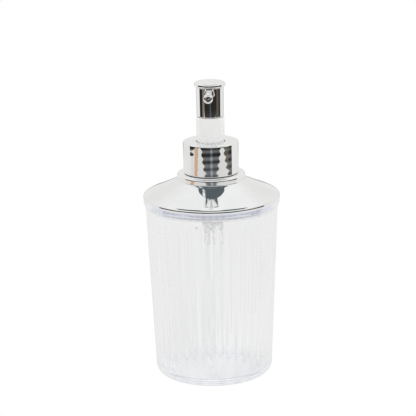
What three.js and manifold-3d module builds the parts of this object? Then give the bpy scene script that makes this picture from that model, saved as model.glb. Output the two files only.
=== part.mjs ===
// Soap pump dispenser: a clear ribbed bottle, a coned lid with a threaded neck, and a hand pump that screws
// onto that neck. Millimetres, +Z up, origin at the centre of the base, spout along -Y.
// Profiles are lists of [radius, height] pairs that run up the outside and back down the inside.

import * as THREE from 'three';
import { mergeVertices } from 'three/addons/utils/BufferGeometryUtils.js';
import Module from 'manifold-3d';

// Driving dimensions
const GAP = 0.3; // clearance kept between neighbouring pieces

const BOTTLE_HEIGHT = 107;
const BOTTLE_RIM_RADIUS = 39.9;
const WALL_TOP = [38.45, 93.5]; // where the straight taper ends, under the flared rim
const WALL_FOOT = [34.64, 5.2]; // where the taper meets the base corner
const WALL = 2.2;
const BASE_CORNER = 5.2;
const FLOOR_Z = 5;
const FLOOR_CORNER = 3.2;
const MOUTH_RADIUS = 36.6;
const RIBS = 40;
const RIB_DEPTH = 0.5;
const RIB_SPAN = [6, 13, 98, 101.5]; // ribs rise between the first two heights and fade between the last two

const LID_RADIUS = 40;
const LID_Z = BOTTLE_HEIGHT + GAP;
const RING_RADIUS = 19.8; // a raised ring stands on the cone, round the foot of the neck
const RING_FOOT_Z = 118.2;
const SHOULDER_Z = 122.1; // flat top of the ring
const NECK_TOP_Z = 134.6;
const NECK_RADIUS = 12.6;
const NECK_BORE = 10.4;

const THREAD = { pitch: 4.23, height: 1, root: 2, crest: 1, startZ: 125.2, stepsPerTurn: 24 };

const COLLAR_RADIUS = 16.2;
const COLLAR_Z = [SHOULDER_Z + GAP, 140.7];
const COLLAR_WALL = 0.9;

const SLEEVE_RADIUS = 8.1;
const SLEEVE_Z = [137.6, 155.3];
const HEAD_RADIUS = 8;
const HEAD_Z = [155.6, 172.8];
const HEAD_WALL = 1.05;
const CAP_RADIUS = 9;
const TOP_Z = 175.6;

const SPOUT_RADIUS = 2.75;
const SPOUT_REACH = 22.5; // from the pump's axis to the tip
const SPOUT_Z = 170.6;
const SPOUT_DROOP = THREE.MathUtils.degToRad(2);
const SPOUT_HOLE = 1.45;

const CYLINDER_BORE = 5;
const CYLINDER_RADIUS = 6.3;
const CUP_FLOOR_Z = 121;
const CUP_BORE = 8.75;
const CUP_RADIUS = 10.05;
const FLANGE_RADIUS = 12.4;
const TAIL_Z = 78;
const SEAT = [1.2, 86.2]; // lower edge of the 45 degree seat under the inlet ball
const CHAMBER_TOP_Z = 90.1;

const STEM_RADIUS = 2.6;
const STEM_BORE = 1.6;
const STEM_Z = [114.1, 164.5];
const PISTON_Z = [106.3, 112.3];
const SPRING = { radius: 4.75, wire: 0.45, turns: 11, z: [124.8, 158.7] };
const BALL_RADIUS = 1.6;
const TUBE_RADIUS = 2.6;
const TUBE_Z = [8, 84.9];

const wasm = await Module();
wasm.setup();

const dispenser = new THREE.Group();

// --- Shape helpers ---

// Turns a profile round the Z axis. It starts and ends on the axis.
function turned(profile, segments) {
  const points = profile.map(([radius, height]) => new THREE.Vector2(radius, height));
  const geometry = new THREE.LatheGeometry(points, segments);
  geometry.rotateX(Math.PI / 2);
  return geometry;
}

// Turns a profile that stays clear of the axis, such as a tube's, into a closed ring.
function turnedRing(profile, segments) {
  return turned([...profile, profile[0]], segments);
}

// Points of an arc in the profile plane, angles in degrees from the outward direction.
function arc([radius, height], size, from, to, steps) {
  const points = [];
  for (let i = 0; i <= steps; i += 1) {
    const angle = THREE.MathUtils.degToRad(from + ((to - from) * i) / steps);
    points.push([radius + size * Math.cos(angle), height + size * Math.sin(angle)]);
  }
  return points;
}

// A closed geometry as a solid that can be cut and joined.
function solid(geometry) {
  const bare = geometry.clone();
  bare.deleteAttribute('normal');
  bare.deleteAttribute('uv');
  const merged = mergeVertices(bare, 1e-4);
  const corners = merged.index.array;
  const triVerts = [];
  for (let i = 0; i < corners.length; i += 3) {
    const [a, b, c] = [corners[i], corners[i + 1], corners[i + 2]];
    if (a !== b && b !== c && c !== a) {
      triVerts.push(a, b, c);
    }
  }
  const mesh = new wasm.Mesh({
    numProp: 3,
    vertProperties: new Float32Array(merged.attributes.position.array),
    triVerts: new Uint32Array(triVerts),
  });
  return new wasm.Manifold(mesh);
}

function geometryOf(body) {
  const mesh = body.getMesh();
  const geometry = new THREE.BufferGeometry();
  geometry.setAttribute('position', new THREE.BufferAttribute(mesh.vertProperties, 3));
  geometry.setIndex(new THREE.BufferAttribute(mesh.triVerts, 1));
  geometry.computeVertexNormals();
  return geometry;
}

// One turn-and-a-bit of screw thread: a bar bent into a helix. It stands out from a neck, or in from a cap.
function threadRidge({ wallRadius, outward, turns, startTurn }) {
  const side = outward ? 1 : -1;
  const steps = Math.round(turns * THREAD.stepsPerTurn);
  const ridge = new THREE.BoxGeometry(turns, 1, 1, steps, 1, 1);
  const position = ridge.attributes.position;
  for (let i = 0; i < position.count; i += 1) {
    const along = turns / 2 - side * position.getX(i);
    const fromEnd = Math.min(along, turns - along);
    const runOut = THREE.MathUtils.lerp(0.3, 1, Math.min(1, fromEnd / 0.08));
    const isCrest = position.getY(i) > 0;
    const width = isCrest ? THREAD.crest : THREAD.root;
    const height = isCrest ? THREAD.height * runOut : -0.2;
    const radius = wallRadius + side * height;
    const angle = 2 * Math.PI * (startTurn + along);
    const z = THREAD.startZ + THREAD.pitch * (along + startTurn) + width * position.getZ(i);
    position.setXYZ(i, radius * Math.cos(angle), radius * Math.sin(angle), z);
  }
  return solid(ridge);
}

// Turns a shape made along +Z to lie along the spout: forwards, with its slight droop.
function alongSpout(geometry) {
  geometry.rotateX(Math.PI / 2 + SPOUT_DROOP);
  geometry.translate(0, 0, SPOUT_Z);
  return geometry;
}

// --- Materials ---

function clearPlastic() {
  return new THREE.MeshStandardMaterial({
    color: 0xf2f5f5, roughness: 0.05, metalness: 0, transparent: true, opacity: 0.25,
  });
}

function chromePlate() {
  return new THREE.MeshStandardMaterial({ color: 0xd9dadc, roughness: 0.06, metalness: 1 });
}

function naturalPlastic() {
  return new THREE.MeshStandardMaterial({ color: 0xe9eae8, roughness: 0.4, metalness: 0 });
}

function softSeal() {
  return new THREE.MeshStandardMaterial({ color: 0xdcdcd8, roughness: 0.7, metalness: 0 });
}

function stainlessSteel() {
  return new THREE.MeshStandardMaterial({ color: 0xb4b5b7, roughness: 0.3, metalness: 1 });
}

function addPiece(name, geometry, material) {
  const piece = new THREE.Mesh(geometry, material);
  piece.name = name;
  dispenser.add(piece);
}

// --- Bottle ---

// A straight taper that flares out under the rim.
function outerWallRadius(z) {
  const [footRadius, footZ] = WALL_FOOT;
  const [topRadius, topZ] = WALL_TOP;
  if (z > topZ) {
    return topRadius + 1.2 * ((z - topZ) / 10.5) ** 3;
  }
  return footRadius + ((topRadius - footRadius) * (z - footZ)) / (topZ - footZ);
}

function bottleProfile() {
  const corner = [WALL_FOOT[0] - BASE_CORNER, BASE_CORNER];
  const innerFoot = outerWallRadius(FLOOR_Z + FLOOR_CORNER) - WALL;
  const floorCorner = [innerFoot - FLOOR_CORNER, FLOOR_Z + FLOOR_CORNER];
  return [
    [0, 1.2],
    [26.3, 1.2],
    [27.5, 0],
    ...arc(corner, BASE_CORNER, -90, 0, 4),
    WALL_TOP,
    [outerWallRadius(100), 100],
    [outerWallRadius(103.8), 103.8],
    [BOTTLE_RIM_RADIUS, 104.4],
    [BOTTLE_RIM_RADIUS, BOTTLE_HEIGHT - 0.3],
    [BOTTLE_RIM_RADIUS - 0.3, BOTTLE_HEIGHT],
    [MOUTH_RADIUS, BOTTLE_HEIGHT],
    [MOUTH_RADIUS, RIB_SPAN[3]],
    [outerWallRadius(RIB_SPAN[2]) - WALL, RIB_SPAN[2]],
    [outerWallRadius(RIB_SPAN[1]) - WALL, RIB_SPAN[1]],
    ...arc(floorCorner, FLOOR_CORNER, 0, -90, 2),
    [0, FLOOR_Z],
  ];
}

// How far the ribs stand into the bottle at a height.
function ribHeight(z) {
  const [start, full, fade, end] = RIB_SPAN;
  const rise = THREE.MathUtils.smoothstep(z, start, full);
  return RIB_DEPTH * rise * (1 - THREE.MathUtils.smoothstep(z, fade, end));
}

// The outside is smooth. The inside carries the upright ribs, three steps of the turning to each.
function makeBottle() {
  const geometry = turned(bottleProfile(), RIBS * 3);
  const position = geometry.attributes.position;
  for (let i = 0; i < position.count; i += 1) {
    const [x, y, z] = [position.getX(i), position.getY(i), position.getZ(i)];
    const radius = Math.hypot(x, y);
    const isInside = z > FLOOR_Z + 0.1 && radius < outerWallRadius(z) - WALL / 2;
    if (isInside) {
      const crest = 0.5 + 0.5 * Math.cos(RIBS * Math.atan2(y, x));
      const scale = (radius - ribHeight(z) * crest) / radius;
      position.setXYZ(i, x * scale, y * scale, z);
    }
  }
  addPiece('bottle', geometry, clearPlastic());
}

// --- Lid ---

// A plug fits the bottle's mouth, a low cone rises to a raised ring, and the neck carries the screw thread.
function makeLid() {
  const plugRadius = MOUTH_RADIUS - 0.4;
  const plugBore = plugRadius - 1.5;
  const profile = [
    [plugBore, 102.5],
    [plugRadius, 102.5],
    [plugRadius, LID_Z],
    [LID_RADIUS, LID_Z],
    [LID_RADIUS, LID_Z + 1.1],
    [39.6, LID_Z + 1.55],
    [38.8, LID_Z + 2.15],
    [37, 110.42],
    [RING_RADIUS, RING_FOOT_Z],
    ...arc([RING_RADIUS - 1.4, SHOULDER_Z - 1.4], 1.4, 0, 90, 3),
    [NECK_RADIUS, SHOULDER_Z],
    [NECK_RADIUS, NECK_TOP_Z],
    [NECK_BORE, NECK_TOP_Z],
    [NECK_BORE, 118.9],
    [16.6, 118.9],
    [20.6, 116.2],
    [25.4, 113.3],
    [plugBore, 109.1],
  ];
  const thread = threadRidge({ wallRadius: NECK_RADIUS, outward: true, turns: 1.5, startTurn: 0 });
  const body = solid(turnedRing(profile, 48)).add(thread);
  addPiece('lid', geometryOf(body), chromePlate());
}

// --- Screw collar ---

function makeCollar() {
  const [bottom, top] = COLLAR_Z;
  const holeRadius = SLEEVE_RADIUS + 0.4;
  const shell = turnedRing([
    [COLLAR_RADIUS - COLLAR_WALL, bottom],
    [COLLAR_RADIUS, bottom],
    ...arc([COLLAR_RADIUS - 0.7, top - 0.7], 0.7, 0, 90, 2),
    [holeRadius, top],
    [holeRadius, top - COLLAR_WALL],
    [COLLAR_RADIUS - COLLAR_WALL, top - COLLAR_WALL],
  ], 40);
  addPiece('collar_shell', shell, chromePlate());

  const threadWall = NECK_RADIUS + THREAD.height + GAP + 0.05;
  const outer = COLLAR_RADIUS - COLLAR_WALL - GAP;
  const capTop = top - COLLAR_WALL - GAP;
  const cap = turnedRing([
    [threadWall, bottom + 0.7],
    [outer, bottom + 0.7],
    [outer, capTop],
    [holeRadius + 0.1, capTop],
    [holeRadius + 0.1, capTop - 1.6],
    [threadWall, capTop - 1.6],
  ], 40);
  const thread = threadRidge({ wallRadius: threadWall, outward: false, turns: 1.25, startTurn: 0.5 });
  const lowered = thread.translate([0, 0, -THREAD.pitch / 2]);
  addPiece('thread_cap', geometryOf(solid(cap).add(lowered)), naturalPlastic());
}

// --- Pump body, held on the neck by its flange ---

function makeHousing() {
  const flangeTop = NECK_TOP_Z + 3;
  const socketTop = SEAT[1] - 1;
  const tailBore = TUBE_RADIUS + GAP;
  const housing = turnedRing([
    [tailBore, TAIL_Z],
    [4.2, TAIL_Z],
    [4.2, 86],
    [CYLINDER_RADIUS, 88],
    [CYLINDER_RADIUS, CUP_FLOOR_Z - 1.8],
    [CUP_RADIUS, CUP_FLOOR_Z - 0.6],
    [CUP_RADIUS, flangeTop - 1.2],
    [FLANGE_RADIUS, flangeTop - 1.2],
    [FLANGE_RADIUS, flangeTop],
    [CUP_BORE, flangeTop],
    [CUP_BORE, CUP_FLOOR_Z],
    [CYLINDER_BORE, CUP_FLOOR_Z],
    [CYLINDER_BORE, CHAMBER_TOP_Z],
    [SEAT[0] + 1, CHAMBER_TOP_Z],
    [SEAT[0] + 1, SEAT[1] + 1],
    SEAT,
    [SEAT[0], socketTop],
    [tailBore, socketTop],
  ], 28);
  addPiece('pump_housing', housing, naturalPlastic());

  const gasketZ = NECK_TOP_Z + GAP;
  const gasket = turnedRing([
    [CUP_RADIUS + GAP, gasketZ],
    [FLANGE_RADIUS, gasketZ],
    [FLANGE_RADIUS, gasketZ + 1.2],
    [CUP_RADIUS + GAP, gasketZ + 1.2],
  ], 28);
  addPiece('neck_gasket', gasket, softSeal());
}

// The guide closes the top of the cylinder, steers the stem and seats the spring.
function makeStemGuide() {
  const bore = STEM_RADIUS + GAP + 0.05;
  const guide = turnedRing([
    [bore, 117.2],
    [CYLINDER_BORE - GAP, 117.2],
    [CYLINDER_BORE - GAP, CUP_FLOOR_Z + GAP],
    [CUP_BORE - GAP, CUP_FLOOR_Z + GAP],
    [CUP_BORE - GAP, 124],
    [bore + 1, 124],
    [bore + 1, 136],
    [bore, 136],
  ], 28);
  addPiece('stem_guide', guide, naturalPlastic());

  const seal = turnedRing([
    [STEM_RADIUS + GAP, 115.6],
    [CYLINDER_BORE - GAP, 115.6],
    [CYLINDER_BORE - GAP, 116.9],
    [STEM_RADIUS + GAP, 116.9],
  ], 28);
  addPiece('stem_seal', seal, softSeal());
}

// A ball on a cone seat is the inlet valve. A slotted disc above keeps it in its chamber.
function makeInletValve() {
  const seatDistance = (BALL_RADIUS + 0.25) * Math.SQRT2;
  const ball = new THREE.SphereGeometry(BALL_RADIUS, 16, 10);
  ball.translate(0, 0, SEAT[1] - SEAT[0] + seatDistance);
  addPiece('inlet_ball', ball, stainlessSteel());

  const discZ = CHAMBER_TOP_Z + GAP;
  const discRadius = CYLINDER_BORE - GAP;
  const disc = turnedRing([[1, discZ], [discRadius, discZ], [discRadius, discZ + 1], [1, discZ + 1]], 28);
  let slotted = solid(disc);
  for (let i = 0; i < 3; i += 1) {
    const slot = new THREE.BoxGeometry(2.4, 1, 3);
    slot.translate(1.9, 0, discZ);
    slot.rotateZ((2 * Math.PI * i) / 3);
    slotted = slotted.subtract(solid(slot));
  }
  addPiece('ball_retainer', geometryOf(slotted), naturalPlastic());
}

// The dip tube hangs from the housing's tail, and its lower end is cut at a slant.
function makeDipTube() {
  const [bottom, top] = TUBE_Z;
  const geometry = turnedRing([
    [TUBE_RADIUS - 0.7, bottom], [TUBE_RADIUS, bottom], [TUBE_RADIUS, top], [TUBE_RADIUS - 0.7, top],
  ], 16);
  const position = geometry.attributes.position;
  for (let i = 0; i < position.count; i += 1) {
    if (position.getZ(i) < bottom + 1) {
      position.setZ(i, bottom + 0.6 * (position.getX(i) + TUBE_RADIUS));
    }
  }
  addPiece('dip_tube', geometry, clearPlastic());
}

// --- Plunger: stem, piston and its rod, and the return spring ---

class SpringCurve extends THREE.Curve {
  // The first and last turns lie nearly flat, and the rest share what height is left.
  getPoint(t, target = new THREE.Vector3()) {
    const [bottom, top] = SPRING.z;
    const turn = SPRING.turns * t;
    const flat = 2.3 * SPRING.wire;
    const pitch = (top - bottom - 2 * flat) / (SPRING.turns - 2);
    const open = THREE.MathUtils.clamp(turn - 1, 0, SPRING.turns - 2);
    const closed = Math.min(turn, 1) + Math.max(0, turn - SPRING.turns + 1);
    const angle = 2 * Math.PI * turn;
    const z = bottom + flat * closed + pitch * open;
    return target.set(SPRING.radius * Math.cos(angle), SPRING.radius * Math.sin(angle), z);
  }
}

function makeSpring() {
  const wire = new THREE.Shape();
  wire.absarc(0, 0, SPRING.wire, 0, 2 * Math.PI);
  const spring = new THREE.ExtrudeGeometry(wire, {
    steps: SPRING.turns * 10, curveSegments: 3, bevelEnabled: false, extrudePath: new SpringCurve(),
  });
  addPiece('return_spring', spring, stainlessSteel());
}

function makePlunger() {
  const [stemFoot, stemTop] = STEM_Z;
  const stem = turnedRing([
    [STEM_BORE, stemFoot], [STEM_RADIUS, stemFoot], [STEM_RADIUS, stemTop], [STEM_BORE, stemTop],
  ], 24);
  addPiece('stem_tube', stem, naturalPlastic());

  const [pistonFoot, pistonTop] = PISTON_Z;
  const rodRadius = 1.5;
  const rod = turned([
    [0, pistonFoot - 1.5],
    [3.4, pistonFoot - 1.5],
    [3.4, pistonFoot - 0.7],
    [rodRadius, pistonFoot - 0.3],
    [rodRadius, stemFoot - 0.5],
    [STEM_BORE - 0.35, stemFoot - 0.2],
    [STEM_BORE - 0.35, stemFoot + 7],
    [0, stemFoot + 7],
  ], 24);
  addPiece('piston_rod', rod, naturalPlastic());

  const lip = CYLINDER_BORE - GAP;
  const piston = turnedRing([
    [rodRadius + 0.35, pistonFoot],
    [lip, pistonFoot],
    [lip, pistonFoot + 0.7],
    [lip - 0.8, pistonFoot + 1.7],
    [lip - 0.8, pistonTop - 1.7],
    [lip, pistonTop - 0.7],
    [lip, pistonTop],
    [lip - 0.5, pistonTop],
    [2.6, pistonTop - 1],
    [rodRadius + 0.35, pistonTop - 1],
  ], 28);
  addPiece('piston', piston, softSeal());
}

// --- Head: sleeve, plated barrel with its spout, cap, and the core that joins it to the stem ---

function makeSleeve() {
  const [bottom, top] = SLEEVE_Z;
  const inner = SLEEVE_RADIUS - 1.3;
  const spigotTop = top + 3.9;
  const sleeve = turnedRing([
    [inner, bottom],
    [SLEEVE_RADIUS, bottom],
    [SLEEVE_RADIUS, top],
    [6.6, top],
    [6.6, spigotTop],
    [5.6, spigotTop],
    [5.6, top - 1.1],
    [inner, top - 1.1],
  ], 32);
  addPiece('sleeve', sleeve, naturalPlastic());
}

// The spout widens a little into the barrel, and one bore runs through it to a smaller hole at the tip.
function makeHeadShell() {
  const [bottom, top] = HEAD_Z;
  const barrel = turned([
    [0, bottom],
    [HEAD_RADIUS - 0.35, bottom],
    [HEAD_RADIUS - 0.15, bottom + 0.3],
    [HEAD_RADIUS, top],
    [0, top],
  ], 36);
  const flare = new THREE.QuadraticBezierCurve(
    new THREE.Vector2(3.3, HEAD_RADIUS - 0.6),
    new THREE.Vector2(SPOUT_RADIUS, HEAD_RADIUS),
    new THREE.Vector2(SPOUT_RADIUS, HEAD_RADIUS + 1),
  );
  const spout = alongSpout(turned([
    [0, 3],
    [3.3, 3],
    ...flare.getPoints(3).map((point) => [point.x, point.y]),
    ...arc([SPOUT_RADIUS - 0.8, SPOUT_REACH - 0.8], 0.8, 0, 90, 2),
    [0, SPOUT_REACH],
  ], 20));
  const spoutBore = SPOUT_HOLE + 0.3;
  const bore = alongSpout(turned([
    [0, 1], [spoutBore, 1], [spoutBore, SPOUT_REACH - 2], [SPOUT_HOLE, SPOUT_REACH - 1.7],
    [SPOUT_HOLE, SPOUT_REACH + 2], [0, SPOUT_REACH + 2],
  ], 20));
  const cavityRadius = HEAD_RADIUS - HEAD_WALL;
  const cavity = turned([
    [0, bottom - 2], [cavityRadius, bottom - 2], [cavityRadius, top + 2], [0, top + 2],
  ], 36);
  const aboveBarrel = turned([[0, top], [12, top], [12, top + 4], [0, top + 4]], 24);
  const body = solid(barrel).add(solid(spout)).subtract(solid(cavity));
  const shell = body.subtract(solid(bore)).subtract(solid(aboveBarrel));
  addPiece('head_shell', geometryOf(shell), chromePlate());

  const tube = alongSpout(turnedRing([
    [0.85, 7], [SPOUT_HOLE - 0.05, 7], [SPOUT_HOLE - 0.05, SPOUT_REACH - 2.3], [0.85, SPOUT_REACH - 2.3],
  ], 16));
  addPiece('nozzle_tube', tube, naturalPlastic());
}

function makeHeadCap() {
  const plugRadius = HEAD_RADIUS - HEAD_WALL - 0.35;
  const underside = HEAD_Z[1] + GAP;
  const cap = turned([
    [0, underside - 0.6],
    [plugRadius, underside - 0.6],
    [plugRadius, underside],
    [CAP_RADIUS - 0.6, underside],
    [CAP_RADIUS, underside + 0.6],
    ...arc([CAP_RADIUS - 1.2, TOP_Z - 1.2], 1.2, 0, 90, 3),
    [0, TOP_Z],
  ], 36);
  addPiece('head_cap', cap, chromePlate());
}

// The core grips the stem below, and turns the flow forwards to the nozzle above.
function makeHeadCore() {
  const outer = HEAD_RADIUS - HEAD_WALL - 0.35;
  const stemSocket = STEM_RADIUS + GAP;
  const spool = turned([
    [0, 171],
    [STEM_BORE, 171],
    [STEM_BORE, STEM_Z[1] + GAP],
    [stemSocket, STEM_Z[1] + GAP],
    [stemSocket, 157.5],
    [4, 157.5],
    [4, 159.5],
    [outer, 159.5],
    [outer, 161],
    [4.6, 161],
    [4.6, 167],
    [outer, 167],
    [outer, 171.9],
    [0, 171.9],
  ], 28);
  const channel = alongSpout(turned([[0, 0.5], [0.85, 0.5], [0.85, 9], [0, 9]], 16));
  addPiece('head_core', geometryOf(solid(spool).subtract(solid(channel))), naturalPlastic());
}

makeBottle();
makeLid();
makeCollar();
makeHousing();
makeStemGuide();
makeInletValve();
makeDipTube();
makeSpring();
makePlunger();
makeSleeve();
makeHeadShell();
makeHeadCap();
makeHeadCore();

export default dispenser;
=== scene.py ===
import math

import bmesh
import bpy
import numpy as np
from mathutils import Matrix, Quaternion, Vector


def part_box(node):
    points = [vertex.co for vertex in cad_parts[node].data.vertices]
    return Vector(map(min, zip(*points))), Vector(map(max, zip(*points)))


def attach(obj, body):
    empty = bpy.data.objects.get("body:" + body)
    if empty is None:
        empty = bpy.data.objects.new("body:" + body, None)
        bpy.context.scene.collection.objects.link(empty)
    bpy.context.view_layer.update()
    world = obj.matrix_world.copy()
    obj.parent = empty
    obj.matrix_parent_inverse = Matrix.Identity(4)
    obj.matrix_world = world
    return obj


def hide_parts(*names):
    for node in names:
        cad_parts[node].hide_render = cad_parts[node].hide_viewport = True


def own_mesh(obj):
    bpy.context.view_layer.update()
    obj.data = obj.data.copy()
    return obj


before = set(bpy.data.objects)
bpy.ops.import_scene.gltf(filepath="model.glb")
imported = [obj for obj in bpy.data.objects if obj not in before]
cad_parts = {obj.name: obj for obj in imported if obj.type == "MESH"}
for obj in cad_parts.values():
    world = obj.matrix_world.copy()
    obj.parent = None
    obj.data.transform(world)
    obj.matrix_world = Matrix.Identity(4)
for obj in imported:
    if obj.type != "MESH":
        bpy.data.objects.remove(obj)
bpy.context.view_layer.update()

# --- Bottle ---
# One injection moulding in clear styrene, tapered so that it leaves its mould, with a flared rim.
# The outside is smooth. Forty upright ribs stand inside the wall: they are shallow near the floor
# and die out under the rim. A narrow foot ring carries it round a hollowed base.

MM = 0.001  # sizes are in millimetres, and this turns them into the frame's metres

BOTTLE_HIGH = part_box("bottle")[1] / MM
RIM_RADIUS = BOTTLE_HIGH.x
RIM_Z = BOTTLE_HIGH.z
WALL = 2.2
WALL_TOP = (38.45, 93.5)  # the straight taper ends here, and the rim flares out above
WALL_FOOT = (34.64, 5.2)
BASE_CORNER = 5.2
FLOOR_Z = 5.0
FLOOR_CORNER = 3.2
MOUTH_RADIUS = 36.6
RIBS = 40
RIB_DEPTH = 0.4
RIB_SPAN = (5.3, 12.9, 13.6, 98.0, 101.5)  # foot, step to full depth, and the fade under the rim
RIB_FOOT_SHARE = 0.25  # how much of their depth the ribs have below that step
FLARE = 1.2
FLARE_HEIGHT = 10.5
LIP_Z = 103.8  # the thicker lip of the rim starts here
FOOT_RING = (26.3, 27.5)
FOOT_RECESS = 1.2
GATE_PIP_Z = 0.75  # the plastic enters at a pip in the middle of the base


def rounded(corners):
    """A profile from (radius, height, fillet) corners, with each fillet drawn as a true arc."""
    profile = []
    for i, (radius, height, fillet) in enumerate(corners):
        corner = Vector((radius, height))
        if fillet == 0:
            profile.append(tuple(corner))
            continue
        before = (Vector(corners[i - 1][:2]) - corner).normalized()
        after = (Vector(corners[(i + 1) % len(corners)][:2]) - corner).normalized()
        half = before.angle(after) / 2
        centre = corner + (before + after).normalized() * fillet / math.sin(half)
        start = corner + before * fillet / math.tan(half) - centre
        sweep = math.copysign(math.pi - 2 * half, before.x * after.y - before.y * after.x)
        steps = max(3, math.ceil(abs(sweep) / math.radians(9)))
        for k in range(steps + 1):
            profile.append(tuple(centre + Matrix.Rotation(-sweep * k / steps, 2) @ start))
    return profile


def divided(profile, step, low, high):
    """The profile with extra points wherever its heights lie between low and high."""
    finer = [profile[0]]
    for start, end in zip(profile, profile[1:]):
        inside = min(start[1], end[1]) < high and max(start[1], end[1]) > low
        parts = max(1, math.ceil(abs(end[1] - start[1]) / step)) if inside else 1
        for k in range(1, parts + 1):
            share = k / parts
            finer.append(tuple(a + (b - a) * share for a, b in zip(start, end)))
    return finer


def as_piece(name, mesh, material, sharp):
    """A piece of the dispenser made of one mesh, smooth except across edges sharper than an angle."""
    mesh.validate()
    mesh.shade_smooth()
    mesh.set_sharp_from_angle(angle=math.radians(sharp))
    mesh.materials.append(material)
    piece = bpy.data.objects.new(name, mesh)
    bpy.context.scene.collection.objects.link(piece)
    return piece


def turned(name, profile, columns, material, shape=None, sharp=40):
    """Turns a profile, as (radius, height) pairs in millimetres, round the Z axis.

    It runs up the outside and back down the inside. One that doesn't start on the axis closes on
    itself. shape(radius, height, angle) gives the radius again where the surface moves in or out.
    """
    radius, height = (np.array(values)[:, None] for values in zip(*profile))
    angle = np.linspace(0, 2 * math.pi, columns, endpoint=False)[None, :]
    radius = np.repeat(radius, columns, axis=1)
    if shape:
        radius = shape(radius, height, angle)
    points = np.stack([radius * np.cos(angle), radius * np.sin(angle), height + 0 * angle], axis=-1)
    is_ring = profile[0][0] > 0
    rows = len(profile)
    here = np.arange(columns)
    beside = (here + 1) % columns
    faces = []
    for row in range(rows if is_ring else rows - 1):
        low, high = row * columns, (row + 1) % rows * columns
        faces += np.stack([here + low, beside + low, beside + high, here + high], axis=-1).tolist()
    mesh = bpy.data.meshes.new(name)
    mesh.from_pydata((points.reshape(-1, 3) * MM).tolist(), [], faces)
    if not is_ring:
        join_at_axis(mesh)
    return as_piece(name, mesh, material, sharp)


def join_at_axis(mesh):
    """Makes one point of all the points that lie together on the axis."""
    edit = bmesh.new()
    edit.from_mesh(mesh)
    on_axis = [point for point in edit.verts if point.co.xy.length < 1e-7]
    bmesh.ops.remove_doubles(edit, verts=on_axis, dist=1e-6)
    edit.to_mesh(mesh)
    edit.free()


def smoothstep(low, high, value):
    """0 below low and 1 above high, with an eased rise between them."""
    share = np.clip((value - low) / (high - low), 0, 1)
    return share * share * (3 - 2 * share)


def wall_radius(height):
    """The outside of the wall: a straight taper that flares out under the rim."""
    (foot_radius, foot_z), (top_radius, top_z) = WALL_FOOT, WALL_TOP
    share = (np.minimum(height, top_z) - foot_z) / (top_z - foot_z)
    flared = FLARE * (np.maximum(height - top_z, 0) / FLARE_HEIGHT) ** 3
    return foot_radius + (top_radius - foot_radius) * share + flared


def ribs(radius, height, angle):
    """Stands the ribs inwards from the inner wall, as soft ridges that run into one another."""
    foot, step_low, step_high, fade, end = RIB_SPAN
    low_part = RIB_FOOT_SHARE * smoothstep(foot, foot + 1.2, height)
    high_part = (1 - RIB_FOOT_SHARE) * smoothstep(step_low, step_high, height)
    depth = RIB_DEPTH * (low_part + high_part) * (1 - smoothstep(fade, end, height))
    ridge = 0.5 + 0.5 * np.cos(RIBS * angle)
    is_inner_wall = (height > FLOOR_Z + 0.05) & (radius < wall_radius(height) - WALL / 2)
    return np.where(is_inner_wall, radius - depth * ridge, radius)


def add_node(tree, kind, inputs=None, **settings):
    """A node with its settings and inputs. An input is a plain value or the output that feeds it."""
    node = tree.nodes.new("ShaderNode" + kind)
    for name, value in settings.items():
        setattr(node, name, value)
    for name, value in (inputs or {}).items():
        if isinstance(value, bpy.types.NodeSocket):
            tree.links.new(value, node.inputs[name])
        else:
            node.inputs[name].default_value = value
    return node


def blended(tree, share, first, second):
    """A colour that goes from first to second as share goes from 0 to 1."""
    mix = add_node(tree, "Mix", {0: share, 6: first, 7: second}, data_type="RGBA")
    return mix.outputs[2]


def ramp(tree, value, low, high, start=0.0, end=1.0):
    """value's range from low to high, eased onto start to end and held there beyond it."""
    steps = {"Value": value, "From Min": low, "From Max": high, "To Min": start, "To Max": end}
    return add_node(tree, "MapRange", steps, interpolation_type="SMOOTHSTEP").outputs["Result"]


def make_mould_marks():
    """What the mould and handling leave on every moulded surface: broad hazy patches and a fine grain."""
    group = bpy.data.node_groups.new("mould marks", "ShaderNodeTree")
    for name, default in (("Patch Scale", 60.0), ("Smoothest", 0.02), ("Roughest", 0.06)):
        socket = group.interface.new_socket(name, in_out="INPUT", socket_type="NodeSocketFloat")
        socket.default_value = default
    for name in ("Roughness", "Patches", "Grain"):
        group.interface.new_socket(name, in_out="OUTPUT", socket_type="NodeSocketFloat")
    given = group.nodes.new("NodeGroupInput").outputs
    place = add_node(group, "TexCoord").outputs["Object"]
    patches = add_node(group, "TexNoise", {"Vector": place, "Scale": given["Patch Scale"], "Detail": 4.0})
    share = ramp(group, patches.outputs["Fac"], 0.38, 0.62)
    steps = {"Value": share, "To Min": given["Smoothest"], "To Max": given["Roughest"]}
    roughness = add_node(group, "MapRange", steps).outputs["Result"]
    grain = add_node(group, "TexNoise", {"Vector": place, "Scale": 2600.0, "Detail": 2.0})
    result = group.nodes.new("NodeGroupOutput").inputs
    group.links.new(roughness, result["Roughness"])
    group.links.new(share, result["Patches"])
    group.links.new(grain.outputs["Fac"], result["Grain"])
    return group


mould_marks = make_mould_marks()


def new_material(name, scale, smoothest, roughest, grain_depth):
    """A material with the mould's marks in its roughness and bump, ready for its own colours."""
    material = bpy.data.materials.new(name)
    material.use_nodes = True
    tree = material.node_tree
    surface = tree.nodes["Principled BSDF"]
    marks = add_node(tree, "Group", node_tree=mould_marks)
    marks.inputs["Patch Scale"].default_value = scale
    marks.inputs["Smoothest"].default_value = smoothest
    marks.inputs["Roughest"].default_value = roughest
    bump = {"Height": marks.outputs["Grain"], "Strength": 0.5, "Distance": grain_depth * MM}
    tree.links.new(marks.outputs["Roughness"], surface.inputs["Roughness"])
    tree.links.new(add_node(tree, "Bump", bump).outputs["Normal"], surface.inputs["Normal"])
    return material, tree, surface, marks


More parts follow.
